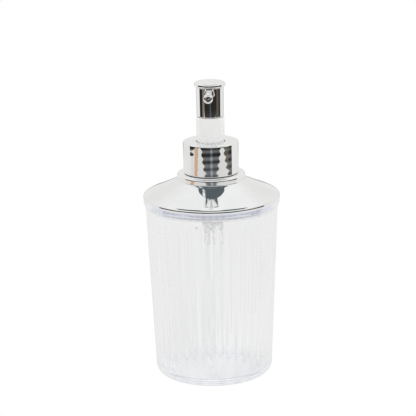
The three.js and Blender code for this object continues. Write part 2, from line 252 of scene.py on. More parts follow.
def make_clear_styrene():
    """Clear, with the faint violet of blued styrene where the rim and the base are thick."""
    material, tree, surface, _ = new_material("clear styrene", 45.0, 0.0, 0.012, 0.0002)
    height = add_node(tree, "SeparateXYZ", {0: add_node(tree, "TexCoord").outputs["Object"]}).outputs["Z"]
    near_rim = ramp(tree, height, (RIM_Z - 4.2) * MM, (RIM_Z - 3.0) * MM)
    near_base = ramp(tree, height, 5.0 * MM, 1.5 * MM)
    thick = add_node(tree, "Math", {0: near_rim, 1: near_base}, operation="MAXIMUM").outputs[0]
    colour = blended(tree, thick, (0.984, 0.9855, 0.9855, 1), (0.92, 0.928, 0.985, 1))
    tree.links.new(colour, surface.inputs["Base Color"])
    surface.inputs["Transmission Weight"].default_value = 1.0
    surface.inputs["IOR"].default_value = 1.52
    return material


def make_bottle():
    """The outside from the base up, the flare, and the rim and inside back down to the floor."""
    foot_radius = float(wall_radius(0.0))
    outside = rounded([
        (0, GATE_PIP_Z, 0),
        (1.8, GATE_PIP_Z, 0.2),
        (2.3, FOOT_RECESS, 0.2),
        (FOOT_RING[0], FOOT_RECESS, 0.5),
        (FOOT_RING[1], 0, 0.35),
        (foot_radius, 0, BASE_CORNER),
        (*WALL_TOP, 0),
    ])
    flare = [(float(wall_radius(z)), z) for z in np.arange(WALL_TOP[1] + 0.75, LIP_Z, 0.75)]
    inner_foot = float(wall_radius(FLOOR_Z)) - WALL
    rim = rounded([
        (float(wall_radius(LIP_Z)), LIP_Z, 0),
        (RIM_RADIUS, LIP_Z + 0.6, 0.4),
        (RIM_RADIUS, RIM_Z, 0.3),
        (MOUTH_RADIUS, RIM_Z, 0.35),
        (MOUTH_RADIUS, RIB_SPAN[4], 0),
        (float(wall_radius(RIB_SPAN[3])) - WALL, RIB_SPAN[3], 0),
        (float(wall_radius(RIB_SPAN[2])) - WALL, RIB_SPAN[2], 0),
        (inner_foot, FLOOR_Z, FLOOR_CORNER),
        (0, FLOOR_Z, 0),
    ])
    inside = divided(divided(rim, 0.15, FLOOR_Z, RIB_SPAN[2]), 0.35, RIB_SPAN[3], RIB_SPAN[4])
    profile = outside + flare + inside
    return turned("clear_bottle", profile, RIBS * 12, make_clear_styrene(), shape=ribs, sharp=50)


bottle = make_bottle()
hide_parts("bottle")
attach(bottle, "base")

# --- Lid ---
# An ABS moulding, chrome plated all over. A plug under its edge fits the bottle's mouth, and the
# cone rises to a raised ring round the foot of the neck, which carries a right-handed thread.

LID_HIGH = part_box("lid")[1] / MM
LID_RADIUS = LID_HIGH.x
LID_Z = RIM_Z + 0.3
RING_RADIUS = 19.8
RING_FOOT_Z = 118.2
CONE_EDGE = (37.0, 110.42)  # the cone starts here, inside the rolled-over edge
CONE_SAG = 0.25
SHOULDER_Z = 122.1
NECK_TOP_Z = LID_HIGH.z
NECK_RADIUS = 12.6
NECK_BORE = 10.4
PLUG_RADIUS = MOUTH_RADIUS - 0.4
PLUG_FOOT_Z = 102.5
THREAD_PITCH = 4.23
THREAD_HEIGHT = 1.0
THREAD_START_Z = 125.2


def make_chrome():
    """Bright chrome on ABS. The plating is thin, so it shows the moulding's faint orange peel."""
    material, tree, surface, marks = new_material("chrome plating", 55.0, 0.018, 0.05, 0.0006)
    colour = blended(tree, marks.outputs["Patches"], (0.93, 0.932, 0.935, 1), (0.89, 0.893, 0.897, 1))
    tree.links.new(colour, surface.inputs["Base Color"])
    surface.inputs["Metallic"].default_value = 1.0
    return material


def thread_ridge(height, angle, start_turn, turns, start_z):
    """How far a screw thread stands out at each point of a wall. It tapers away at both ends."""
    ridge = 0 * height + 0 * angle
    for extra in range(-1, math.ceil(turns) + 1):
        along = angle / (2 * math.pi) - start_turn + extra
        off_centre = np.abs(height - start_z - THREAD_PITCH * along)
        section = np.clip((1.0 - off_centre) / 0.5, 0, 1)
        ends = smoothstep(0, 0.08, along) * (1 - smoothstep(turns - 0.08, turns, along))
        ridge = np.maximum(ridge, THREAD_HEIGHT * section * ends)
    return ridge


def neck_thread(radius, height, angle):
    """Stands one and a half turns of thread outwards from the neck."""
    is_neck = (np.abs(radius - NECK_RADIUS) < 0.01) & (height > SHOULDER_Z)
    return np.where(is_neck, radius + thread_ridge(height, angle, 0, 1.5, THREAD_START_Z), radius)


def swept(points, steps):
    """A smooth curve through points, as a Catmull-Rom spline in the profile plane."""
    ends = [2 * Vector(points[0]) - Vector(points[1])], [2 * Vector(points[-1]) - Vector(points[-2])]
    control = [*ends[0], *(Vector(point) for point in points), *ends[1]]
    curve = []
    for a, b, c, d in zip(control, control[1:], control[2:], control[3:]):
        for k in range(steps):
            t = k / steps
            curve.append(tuple(0.5 * (2 * b + (c - a) * t + (2 * a - 5 * b + 4 * c - d) * t ** 2
                                      + (3 * b - a - 3 * c + d) * t ** 3)))
    return [*curve, tuple(points[-1])]


def cone_point(share):
    """A point on the cone, from its outer edge up to the ring. It is a little steeper towards the ring."""
    (edge_radius, edge_z), rise = CONE_EDGE, RING_FOOT_Z - CONE_EDGE[1]
    sag = CONE_SAG * 4 * share * (1 - share)
    return edge_radius + (RING_RADIUS - edge_radius) * share, edge_z + rise * share - sag


def make_lid(chrome):
    """Up the plug and over the edge, up the cone and neck, and back down the bore and underside."""
    plug_bore = PLUG_RADIUS - 1.5
    edge = rounded([
        (plug_bore, PLUG_FOOT_Z, 0.4),
        (PLUG_RADIUS, PLUG_FOOT_Z, 0.6),
        (PLUG_RADIUS, LID_Z, 0.2),
        (LID_RADIUS, LID_Z, 0.15),
        (LID_RADIUS, LID_Z + 0.9, 0),
    ])
    rolled_over = swept([
        (LID_RADIUS - 0.13, LID_Z + 1.22),
        (LID_RADIUS - 0.4, LID_Z + 1.55),
        (LID_RADIUS - 1.2, LID_Z + 2.17),
        CONE_EDGE,
    ], 6)
    cone = [cone_point(k / 16) for k in range(1, 16)]
    ring = rounded([
        (*cone[-1], 0),
        (RING_RADIUS, RING_FOOT_Z, 0.35),
        (RING_RADIUS, SHOULDER_Z, 1.4),
        (NECK_RADIUS, SHOULDER_Z, 0.3),
        (NECK_RADIUS, NECK_TOP_Z, 0.3),
        (NECK_BORE, NECK_TOP_Z, 0.3),
        (NECK_BORE, 118.9, 0.4),
        (16.6, 118.9, 1.0),
        (20.6, 116.2, 2.0),
        (25.4, 113.3, 3.0),
        (plug_bore, 109.1, 1.5),
    ])
    ring = divided(ring[1:], 0.2, RING_FOOT_Z + 0.5, SHOULDER_Z - 2)
    neck = divided(ring, 0.16, THREAD_START_Z - 2, NECK_TOP_Z - 0.4)
    profile = edge + rolled_over + cone + neck
    return turned("domed_lid", profile, 240, chrome, shape=neck_thread, sharp=50)


chrome = make_chrome()
lid = make_lid(chrome)
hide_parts("lid")
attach(lid, "base")

# --- Pump housing and neck washer ---
# The housing is moulded in natural polypropylene: a tail that grips the tube, a long cylinder, and
# a cup with the flange that hangs on the neck. The washer under the flange is soft polyethylene.

CYLINDER_BORE = 5.0
CUP_FLOOR_Z = 121.0
CUP_BORE = 8.75
CUP_RADIUS = 10.05
FLANGE_RADIUS = 12.4
FLANGE_TOP_Z = NECK_TOP_Z + 3
CHAMBER_TOP_Z = 90.1  # the narrower chamber of the inlet ball lies below
TUBE_RADIUS = 2.6
TUBE_STOP_Z = 85.2
TAIL_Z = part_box("pump_housing")[0].z / MM


def make_plastic(name, light, dark, scale, smoothest, roughest, depth):
    """An unpigmented moulding, a little cloudy. Light enters it and comes out again nearby."""
    material, tree, surface, marks = new_material(name, scale, smoothest, roughest, 0.004)
    tree.links.new(blended(tree, marks.outputs["Patches"], light, dark), surface.inputs["Base Color"])
    surface.inputs["Subsurface Weight"].default_value = 0.45
    surface.inputs["Subsurface Radius"].default_value = (1.0, 0.98, 0.94)
    surface.inputs["Subsurface Scale"].default_value = depth * MM
    surface.inputs["IOR"].default_value = 1.5
    return material


def make_housing(plastic):
    return turned("pump_barrel", rounded([
        (TUBE_RADIUS + 0.3, TAIL_Z, 0.2),
        (4.2, TAIL_Z, 0.4),
        (4.2, 86, 0.6),
        (6.3, 88, 0.8),
        (6.3, CUP_FLOOR_Z - 1.8, 0.4),
        (CUP_RADIUS, CUP_FLOOR_Z - 0.6, 0.6),
        (CUP_RADIUS, FLANGE_TOP_Z - 1.2, 0.3),
        (FLANGE_RADIUS, FLANGE_TOP_Z - 1.2, 0.2),
        (FLANGE_RADIUS, FLANGE_TOP_Z, 0.3),
        (CUP_BORE, FLANGE_TOP_Z, 0.3),
        (CUP_BORE, CUP_FLOOR_Z, 0.3),
        (CYLINDER_BORE, CUP_FLOOR_Z, 0.3),
        (CYLINDER_BORE, CHAMBER_TOP_Z, 0.3),
        (2.2, CHAMBER_TOP_Z, 0.2),
        (2.2, TUBE_STOP_Z + 2, 0),
        (1.2, TUBE_STOP_Z + 1, 0.1),
        (1.2, TUBE_STOP_Z, 0.1),
        (TUBE_RADIUS + 0.3, TUBE_STOP_Z, 0.1),
    ]), 96, plastic)


def make_washer(rubber):
    low, high = (corner.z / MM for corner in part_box("neck_gasket"))
    bore = CUP_RADIUS + 0.3
    corners = [(bore, low, 0.25), (FLANGE_RADIUS, low, 0.3), (FLANGE_RADIUS, high, 0.3), (bore, high, 0.25)]
    return turned("neck_washer", rounded(corners), 96, rubber)


natural_plastic = make_plastic(
    "natural polypropylene", (0.95, 0.955, 0.95, 1), (0.91, 0.918, 0.91, 1), 130.0, 0.3, 0.42, 1.2)
soft_plastic = make_plastic(
    "soft polyethylene", (0.80, 0.80, 0.78, 1), (0.75, 0.75, 0.73, 1), 220.0, 0.5, 0.68, 0.8)

housing = make_housing(natural_plastic)
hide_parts("pump_housing")
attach(housing, "pump")

washer = make_washer(soft_plastic)
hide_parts("neck_gasket")
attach(washer, "pump")

# --- Inlet valve ---
# A steel ball rests on a cone in the housing and shuts the way back to the tube. The slotted disc
# above it, pressed into the cylinder, keeps it in its chamber and lets the soap past.

BALL_LOW, BALL_HIGH = (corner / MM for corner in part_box("inlet_ball"))
DISC_LOW, DISC_HIGH = (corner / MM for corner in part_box("ball_retainer"))
DISC_HOLE = 1.05


def make_steel():
    """Drawn stainless wire and ground ball: a fine, slightly uneven satin."""
    material, tree, surface, marks = new_material("stainless steel", 900.0, 0.16, 0.34, 0.002)
    colour = blended(tree, marks.outputs["Patches"], (0.68, 0.68, 0.69, 1), (0.58, 0.58, 0.59, 1))
    tree.links.new(colour, surface.inputs["Base Color"])
    surface.inputs["Metallic"].default_value = 1.0
    return material


def make_ball(steel):
    radius = (BALL_HIGH.z - BALL_LOW.z) / 2
    centre_z = (BALL_HIGH.z + BALL_LOW.z) / 2
    angles = np.linspace(-math.pi / 2, math.pi / 2, 33)[1:-1]
    side = [(radius * math.cos(a), centre_z + radius * math.sin(a)) for a in angles]
    return turned("valve_ball", [(0, BALL_LOW.z), *side, (0, BALL_HIGH.z)], 64, steel)


def slotted(radius, height, angle):
    """Opens the disc's centre hole into three slots, each three times as long as the hole's radius."""
    into_slot = np.maximum.reduce([np.cos(angle - 2 * math.pi * k / 3) for k in range(3)])
    opened = 1.0 + 2.0 * smoothstep(0.93, 0.965, into_slot)
    is_hole = radius < 2 * DISC_HOLE
    return np.where(is_hole, radius * opened, radius)


def make_disc(plastic):
    low, high = DISC_LOW.z, DISC_HIGH.z
    return turned("valve_disc", rounded([
        (DISC_HOLE, low, 0.1),
        (DISC_HIGH.x, low, 0.15),
        (DISC_HIGH.x, high, 0.15),
        (DISC_HOLE, high, 0.1),
    ]), 180, plastic, shape=slotted)


steel = make_steel()
ball = make_ball(steel)
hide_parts("inlet_ball")
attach(ball, "ball")

disc = make_disc(natural_plastic)
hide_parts("ball_retainer")
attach(disc, "pump")

# --- Dip tube ---
# A length of clear extruded tube pressed into the housing's tail. Its lower end is cut at a slant
# so that it can't seal itself against the floor of the bottle.

TUBE_LOW, TUBE_HIGH = (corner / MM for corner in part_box("dip_tube"))
TUBE_WALL = 0.7
TUBE_SLANT = 0.6  # how far the cut end rises for each millimetre across


def make_clear_tube():
    """Clear soft tube, a touch cloudy. Its index is set low, so that it hardly bends what is behind."""
    material, tree, surface, marks = new_material("clear tube", 240.0, 0.02, 0.07, 0.001)
    colour = blended(tree, marks.outputs["Patches"], (0.985, 0.99, 0.99, 1), (0.965, 0.972, 0.972, 1))
    tree.links.new(colour, surface.inputs["Base Color"])
    surface.inputs["Transmission Weight"].default_value = 1.0
    surface.inputs["IOR"].default_value = 1.12
    return material


def make_dip_tube():
    """A straight tube, with its lower end slanted."""
    bore = TUBE_RADIUS - TUBE_WALL
    low, high = TUBE_LOW.z, TUBE_HIGH.z
    corners = [(bore, low, 0.1), (TUBE_RADIUS, low, 0.15), (TUBE_RADIUS, high, 0.15), (bore, high, 0.1)]
    piece = turned("suction_tube", rounded(corners), 64, make_clear_tube())
    for point in piece.data.vertices:
        if point.co.z < (low + 1) * MM:
            point.co.z += TUBE_SLANT * (point.co.x + TUBE_RADIUS * MM)
    return piece


dip_tube = make_dip_tube()
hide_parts("dip_tube")
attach(dip_tube, "pump")

# --- Plunger ---
# The hollow stem carries the soap up to the head. A pin pressed into its foot holds the piston,
# which slides a little on the pin: that opens the stem on the way down and shuts it on the way up.

STEM_FOOT_Z, STEM_TOP_Z = (corner.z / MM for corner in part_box("stem_tube"))
STEM_RADIUS = 2.6
STEM_BORE = 1.6
PIN_RADIUS = 1.5
PIN_FOOT_RADIUS = 3.4
PISTON_LOW, PISTON_HIGH = (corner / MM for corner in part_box("piston"))
PISTON_Z = PISTON_LOW.z
PISTON_TOP_Z = PISTON_HIGH.z
PISTON_LIP = PISTON_HIGH.x

stem = turned("plunger_stem", rounded([
    (STEM_BORE, STEM_FOOT_Z, 0.2),
    (STEM_RADIUS, STEM_FOOT_Z, 0.25),
    (STEM_RADIUS, STEM_TOP_Z, 0.25),
    (STEM_BORE, STEM_TOP_Z, 0.2),
]), 72, natural_plastic)
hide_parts("stem_tube")
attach(stem, "stem")

pin = turned("piston_pin", rounded([
    (0, PISTON_Z - 1.5, 0),
    (PIN_FOOT_RADIUS, PISTON_Z - 1.5, 0.25),
    (PIN_FOOT_RADIUS, PISTON_Z - 0.7, 0.2),
    (PIN_RADIUS, PISTON_Z - 0.3, 0.1),
    (PIN_RADIUS, STEM_FOOT_Z - 0.5, 0.1),
    (STEM_BORE - 0.35, STEM_FOOT_Z - 0.2, 0.1),
    (STEM_BORE - 0.35, STEM_FOOT_Z + 7, 0.3),
    (0, STEM_FOOT_Z + 7, 0),
]), 64, natural_plastic)
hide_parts("piston_rod")
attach(pin, "stem")

piston = turned("piston_cup", rounded([
    (PIN_RADIUS + 0.35, PISTON_Z, 0.1),
    (PISTON_LIP, PISTON_Z, 0.15),
    (PISTON_LIP, PISTON_Z + 0.7, 0.15),
    (PISTON_LIP - 0.8, PISTON_Z + 1.7, 0.3),
    (PISTON_LIP - 0.8, PISTON_TOP_Z - 1.7, 0.3),
    (PISTON_LIP, PISTON_TOP_Z - 0.7, 0.15),
    (PISTON_LIP, PISTON_TOP_Z, 0.12),
    (PISTON_LIP - 0.5, PISTON_TOP_Z, 0.12),
    (STEM_RADIUS, PISTON_TOP_Z - 1, 0.2),
    (PIN_RADIUS + 0.35, PISTON_TOP_Z - 1, 0.1),
]), 80, soft_plastic)
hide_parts("piston")
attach(piston, "piston")

# --- Stem guide and wiper ring ---
# The guide snaps into the housing's cup and keeps the stem upright. The soft ring below it wipes
# the stem, so that soap doesn't climb into the spring.

GUIDE_LOW, GUIDE_HIGH = (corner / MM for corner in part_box("stem_guide"))
GUIDE_BORE = STEM_RADIUS + 0.35
GUIDE_SEAT_Z = 124.0  # the spring stands here
WIPER_LOW, WIPER_HIGH = (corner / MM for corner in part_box("stem_seal"))

guide = turned("stem_bush", rounded([
    (GUIDE_BORE, GUIDE_LOW.z, 0.15),
    (CYLINDER_BORE - 0.3, GUIDE_LOW.z, 0.2),
    (CYLINDER_BORE - 0.3, CUP_FLOOR_Z + 0.3, 0.1),
    (CUP_BORE - 0.3, CUP_FLOOR_Z + 0.3, 0.3),
    (CUP_BORE - 0.3, GUIDE_SEAT_Z, 0.3),
    (GUIDE_BORE + 1, GUIDE_SEAT_Z, 0.3),
    (GUIDE_BORE + 1, GUIDE_HIGH.z, 0.3),
    (GUIDE_BORE, GUIDE_HIGH.z, 0.2),
]), 96, natural_plastic)
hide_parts("stem_guide")
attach(guide, "pump")

wiper = turned("stem_wiper", rounded([
    (STEM_RADIUS + 0.3, WIPER_LOW.z, 0.2),
    (CYLINDER_BORE - 0.3, WIPER_LOW.z, 0.3),
    (CYLINDER_BORE - 0.3, WIPER_HIGH.z, 0.3),
    (STEM_RADIUS + 0.3, WIPER_HIGH.z, 0.2),
]), 80, soft_plastic)
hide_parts("stem_seal")
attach(wiper, "pump")

# --- Return spring ---
# Eleven turns of stainless wire, closed at both ends, stand on the guide round its bush and push
# the head up. They stay out of the soap and close up as the head goes down, though here the coil keeps one
# length and rides with the pump.

SPRING_LOW, SPRING_HIGH = (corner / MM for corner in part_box("return_spring"))
WIRE = 0.45
COIL_RADIUS = 4.75
TURNS = 11


def coil_point(turn):
    """A point on the wire's centre line. The end turns lie flat and the rest share what is left."""
    low, high = SPRING_LOW.z + WIRE, SPRING_HIGH.z - WIRE
    flat = 2.3 * WIRE
    open_pitch = (high - low - 2 * flat) / (TURNS - 2)
    closed = min(turn, 1) + max(0, turn - TURNS + 1)
    height = low + flat * closed + open_pitch * min(max(turn - 1, 0), TURNS - 2)
    angle = 2 * math.pi * turn
    return Vector((COIL_RADIUS * math.cos(angle), COIL_RADIUS * math.sin(angle), height))


def make_spring(steel):
    """A round wire laid along the coil, with flat ends."""
    steps, sides = TURNS * 40, 12
    points, faces = [], []
    for i in range(steps + 1):
        turn = TURNS * i / steps
        centre = coil_point(turn)
        forward = (coil_point(min(turn + 0.01, TURNS)) - coil_point(max(turn - 0.01, 0))).normalized()
        outward = Vector((centre.x, centre.y, 0)).normalized()
        upward = outward.cross(forward)
        outward = forward.cross(upward)
        for k in range(sides):
            a = 2 * math.pi * k / sides
            points.append((centre + WIRE * (math.cos(a) * outward + math.sin(a) * upward)) * MM)
    for i in range(steps):
        for k in range(sides):
            beside = (k + 1) % sides
            low, high = i * sides, (i + 1) * sides
            faces.append((low + k, low + beside, high + beside, high + k))
    faces.append(tuple(range(sides))[::-1])
    faces.append(tuple(steps * sides + k for k in range(sides)))
    mesh = bpy.data.meshes.new("coil_spring")
    mesh.from_pydata(points, [], faces)
    return as_piece("coil_spring", mesh, steel, 50)


spring = make_spring(steel)
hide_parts("return_spring")
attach(spring, "pump")
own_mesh(spring)

# --- Screw collar ---
# A threaded cap of natural polypropylene does the holding, and a chrome-plated ABS shell is pressed
# over it. The thread behind pulls the thin shell in by some hundredths of a millimetre as it cools.

COLLAR_LOW, COLLAR_HIGH = (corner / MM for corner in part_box("collar_shell"))
COLLAR_RADIUS = COLLAR_HIGH.x
COLLAR_WALL = 0.9
SLEEVE_RADIUS = 8.1
COLLAR_HOLE = SLEEVE_RADIUS + 0.4
SINK_DEPTH = 0.007


def sink_marks(radius, height, angle):
    """Draws the shell in along the thread's turns, less and less towards its top edge."""
    turns = (height - THREAD_START_Z) / THREAD_PITCH - angle / (2 * math.pi)
    mark = 0.5 + 0.5 * np.cos(2 * math.pi * turns)
    is_outside = radius > COLLAR_RADIUS - 0.01
    return np.where(is_outside, radius - SINK_DEPTH * mark, radius)


def make_collar_shell(chrome):
    """A thin cup, upside down, with a hole in its top for the sleeve."""
    low, high = COLLAR_LOW.z, COLLAR_HIGH.z
    profile = rounded([
        (COLLAR_RADIUS - COLLAR_WALL, low, 0.15),
        (COLLAR_RADIUS, low, 0.2),
        (COLLAR_RADIUS, high, 0.75),
        (COLLAR_HOLE, high, 0.3),
        (COLLAR_HOLE, high - COLLAR_WALL, 0.15),
        (COLLAR_RADIUS - COLLAR_WALL, high - COLLAR_WALL, 0.3),
    ])
    rows = divided(profile, 0.2, low + 0.3, high - 0.8)
    return turned("collar_plating", rows, 256, chrome, shape=sink_marks)


def make_thread_cap(plastic):
    """The threaded cap that fills the shell."""
    low, high = COLLAR_LOW.z + 0.7, COLLAR_HIGH.z - COLLAR_WALL - 0.3
    bore = NECK_RADIUS + THREAD_HEIGHT + 0.35
    outside = COLLAR_RADIUS - COLLAR_WALL - 0.3
    profile = rounded([
        (bore, low, 0.2),
        (outside, low, 0.2),
        (outside, high, 0.3),
        (COLLAR_HOLE + 0.1, high, 0.2),
        (COLLAR_HOLE + 0.1, high - 1.6, 0.2),
        (bore, high - 1.6, 0.3),
    ])
    profile.append(profile[0])

    def inner_thread(radius, height, angle):
        """Stands the thread inwards, half a turn round from the neck's."""
        is_bore = np.abs(radius - bore) < 0.01
        return np.where(is_bore, radius - thread_ridge(height, angle, 0.5, 1.25, THREAD_START_Z), radius)

    rows = divided(profile, 0.15, low + 0.3, high - 2)[:-1]
    return turned("collar_liner", rows, 240, plastic, shape=inner_thread)


collar = make_collar_shell(chrome)
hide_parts("collar_shell")
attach(collar, "collar")

collar_liner = make_thread_cap(natural_plastic)
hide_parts("thread_cap")
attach(collar_liner, "collar")

# --- Sleeve ---
# A milky polypropylene tube that moves with the head and hides the stem and spring. Its spigot
# snaps up into the barrel of the head.

SLEEVE_LOW, SLEEVE_HIGH = (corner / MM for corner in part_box("sleeve"))
SPIGOT_RADIUS = 6.6


def make_sleeve():
    milky = make_plastic(
        "milky polypropylene", (0.935, 0.938, 0.925, 1), (0.91, 0.913, 0.90, 1), 95.0, 0.16, 0.26, 2.0)
    bottom, spigot_top = SLEEVE_LOW.z, SLEEVE_HIGH.z
    shoulder = spigot_top - 3.9
    bore = SLEEVE_RADIUS - 1.3
    return turned("milky_sleeve", rounded([
        (bore, bottom, 0.2),
        (SLEEVE_RADIUS, bottom, 0.3),
        (SLEEVE_RADIUS, shoulder, 0.3),
        (SPIGOT_RADIUS, shoulder, 0.1),
        (SPIGOT_RADIUS, spigot_top, 0.3),
        (SPIGOT_RADIUS - 1, spigot_top, 0.2),
        (SPIGOT_RADIUS - 1, shoulder - 1.1, 0.2),
        (bore, shoulder - 1.1, 0.3),
    ]), 160, milky)


sleeve = make_sleeve()
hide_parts("sleeve")
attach(sleeve, "head")

# --- Head: barrel and spout ---
# One chrome-plated ABS moulding. The spout grows out of the barrel with a wide fillet, is trimmed
# level with the barrel's top, and is bored from the barrel to a smaller hole at its rounded tip.

HEAD_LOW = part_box("head_shell")[0] / MM
BARREL_TOP_Z = 172.8
BARREL_RADIUS = 8.0
BARREL_TAPER = 0.15
BARREL_WALL = 1.05
SPOUT_RADIUS = 2.75
SPOUT_REACH = 22.5
SPOUT_Z = 170.6
SPOUT_DROOP = math.radians(2)
SPOUT_HOLE = 1.45
CELL = 0.19  # size of the cells that the head's surface is found in


def joined(first, second, fillet):
    """Union of two distance fields with a fillet where they meet."""
    near = np.maximum(fillet - np.abs(first - second), 0) / fillet
    return np.minimum(first, second) - near ** 2 * fillet / 4


def cut(body, tool, rounding):
    """Body without tool, with its new edge eased."""
    return -joined(-body, tool, rounding)


def rod(across, along, radius, low, high, rounding):
    """Distance to a solid cylinder with rounded ends."""
    side = across - radius + rounding
    end = np.abs(along - (low + high) / 2) - (high - low) / 2 + rounding
    outside = np.hypot(np.maximum(side, 0), np.maximum(end, 0))
    return outside + np.minimum(np.maximum(side, end), 0) - rounding


def head_field(x, y, z):
    """Signed distance to the plated head, in millimetres, below 0 inside it."""
    from_axis = np.hypot(x, y)
    taper = BARREL_TAPER * (BARREL_TOP_Z - z) / (BARREL_TOP_Z - HEAD_LOW.z)
    barrel = rod(from_axis, z, BARREL_RADIUS - taper, HEAD_LOW.z, BARREL_TOP_Z + 2, 0.35)
    along = -y * math.cos(SPOUT_DROOP) - (z - SPOUT_Z) * math.sin(SPOUT_DROOP)
    across = np.hypot(x, (z - SPOUT_Z) * math.cos(SPOUT_DROOP) - y * math.sin(SPOUT_DROOP))
    spout = rod(across, along, SPOUT_RADIUS, 3, SPOUT_REACH, 1.25)
    body = joined(barrel, spout, 0.6)
    body = cut(body, from_axis - (BARREL_RADIUS - BARREL_WALL), 0.15)
    body = cut(body, rod(across, along, SPOUT_HOLE + 0.3, 1, SPOUT_REACH - 1.7, 0.2), 0.15)
    body = cut(body, rod(across, along, SPOUT_HOLE, 1, SPOUT_REACH + 4, 0.2), 0.2)
    above = np.where(from_axis < 12, z - BARREL_TOP_Z, -1.0)
    return -joined(-body, -above, 0.25)


def skin(field, low, high, step):
    """The surface where a field is 0, as points and quads: one point in each cell that it crosses."""
    axes = [np.arange(a, b + step, step) for a, b in zip(low, high)]
    inside = field(*np.meshgrid(*axes, indexing="ij")) < 0
    shape = [n - 1 for n in inside.shape]
    count = sum(inside[i:i + shape[0], j:j + shape[1], k:k + shape[2]].astype(np.int8)
                for i in (0, 1) for j in (0, 1) for k in (0, 1))
    crossed = (count > 0) & (count < 8)
    number = np.full(crossed.shape, -1)
    number[crossed] = np.arange(crossed.sum())
    points = np.argwhere(crossed) * step + np.array(low) + step / 2
    quads = []
    for axis in range(3):
        u, v = (axis + 1) % 3, (axis + 2) % 3
        now = np.moveaxis(inside, (axis, u, v), (0, 1, 2))
        cell = np.moveaxis(number, (axis, u, v), (0, 1, 2))
        starts, ends = now[:-1, 1:-1, 1:-1], now[1:, 1:-1, 1:-1]
        around = [cell[:, :-1, :-1], cell[:, 1:, :-1], cell[:, 1:, 1:], cell[:, :-1, 1:]]
        leaving, entering = starts & ~ends, ~starts & ends
        quads.append(np.stack([corner[leaving] for corner in around], axis=-1))
        quads.append(np.stack([corner[entering] for corner in around[::-1]], axis=-1))
    return points, np.concatenate(quads)


def slope(field, points, reach=0.004):
    """Which way the field rises fastest at each point, as unit vectors."""
    steps = np.eye(3) * reach
    rise = np.stack([field(*(points + step).T) - field(*(points - step).T) for step in steps], axis=-1)
    return rise / np.maximum(np.linalg.norm(rise, axis=1, keepdims=True), 1e-12)


def make_head(chrome):
    """Finds the head's surface in small cells, then draws every point onto it."""
    side = BARREL_RADIUS + 1.1
    low = (-side, -SPOUT_REACH - 1.1, HEAD_LOW.z - 0.7)
    high = (side, side, BARREL_TOP_Z + 1.6)
    points, quads = skin(head_field, low, high, CELL)
    for _ in range(6):
        points = points - slope(head_field, points) * head_field(*points.T)[:, None]
    mesh = bpy.data.meshes.new("spout_head")
    mesh.from_pydata((points * MM).tolist(), [], quads.tolist())
    piece = as_piece("spout_head", mesh, chrome, 60)
    mesh.normals_split_custom_set_from_vertices(slope(head_field, points).tolist())
    return piece


head = make_head(chrome)
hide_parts("head_shell")
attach(head, "head")

# --- Nozzle liner, head core and cap ---
# Inside the head, a natural polypropylene core grips the stem and turns the soap forwards into a
# short liner tube. The chrome-plated cap is pressed on top and stands a little proud of the barrel.

LINER_BORE = 0.85
LINER_ENDS = (7, SPOUT_REACH - 3.8)
CORE_LOW, CORE_HIGH = (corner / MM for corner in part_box("head_core"))
CORE_RADIUS = BARREL_RADIUS - BARREL_WALL - 0.35
CORE_NECK = 4.6
CAP_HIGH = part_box("head_cap")[1] / MM


def laid_along_spout(piece):
    """Turns a piece made along +Z to lie along the spout."""
    tilt = Matrix.Rotation(math.pi / 2 + SPOUT_DROOP, 4, "X")
    piece.data.transform(Matrix.Translation((0, 0, SPOUT_Z * MM)) @ tilt)
    return piece


liner = laid_along_spout(turned("nozzle_liner", rounded([
    (LINER_BORE, LINER_ENDS[0], 0.1),
    (SPOUT_HOLE - 0.05, LINER_ENDS[0], 0.1),
    (SPOUT_HOLE - 0.05, LINER_ENDS[1], 0.3),
    (LINER_BORE, LINER_ENDS[1], 0.15),
]), 48, natural_plastic))
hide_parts("nozzle_tube")
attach(liner, "head")

core = turned("head_spool", rounded([
    (0, CORE_HIGH.z - 0.9, 0),
    (STEM_BORE, CORE_HIGH.z - 0.9, 0.1),
    (STEM_BORE, STEM_TOP_Z + 0.3, 0.1),
    (STEM_RADIUS + 0.3, STEM_TOP_Z + 0.3, 0.1),
    (STEM_RADIUS + 0.3, CORE_LOW.z, 0.2),
    (4, CORE_LOW.z, 0.3),
    (4, CORE_LOW.z + 2, 0.2),
    (CORE_RADIUS, CORE_LOW.z + 2, 0.3),
    (CORE_RADIUS, CORE_LOW.z + 3.5, 0.3),
    (CORE_NECK, CORE_LOW.z + 3.5, 0.3),
    (CORE_NECK, CORE_HIGH.z - 4.9, 0.3),
    (CORE_RADIUS, CORE_HIGH.z - 4.9, 0.3),
    (CORE_RADIUS, CORE_HIGH.z, 0.3),
    (0, CORE_HIGH.z, 0),
]), 80, natural_plastic)
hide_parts("head_core")
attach(core, "head")

underside = BARREL_TOP_Z + 0.3
cap = turned("head_button", rounded([
    (0, underside - 0.6, 0),
    (CORE_RADIUS, underside - 0.6, 0.15),
    (CORE_RADIUS, underside, 0.1),
    (CAP_HIGH.x - 0.5, underside, 0.25),
    (CAP_HIGH.x, underside + 0.6, 0.5),
    (CAP_HIGH.x, CAP_HIGH.z, 1.2),
    (0, CAP_HIGH.z, 0),
]), 192, chrome)
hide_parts("head_cap")
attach(cap, "head")

# --- Studio ---
# The bottle stands on a pale table with a wooden edge, in front of a darkened room: the room and
# the table's ends are what the chrome shows. Big pale walls light it from the sides and above.

STUDIO_TURN = math.radians(2.9)  # the whole studio is turned a little round the bottle
TABLE_LEFT, TABLE_RIGHT = -0.566, 0.485
TABLE_FRONT, TABLE_BACK = -0.455, 0.52
EDGING_Z = 0.001
WHITE = (1, 1, 1, 1)


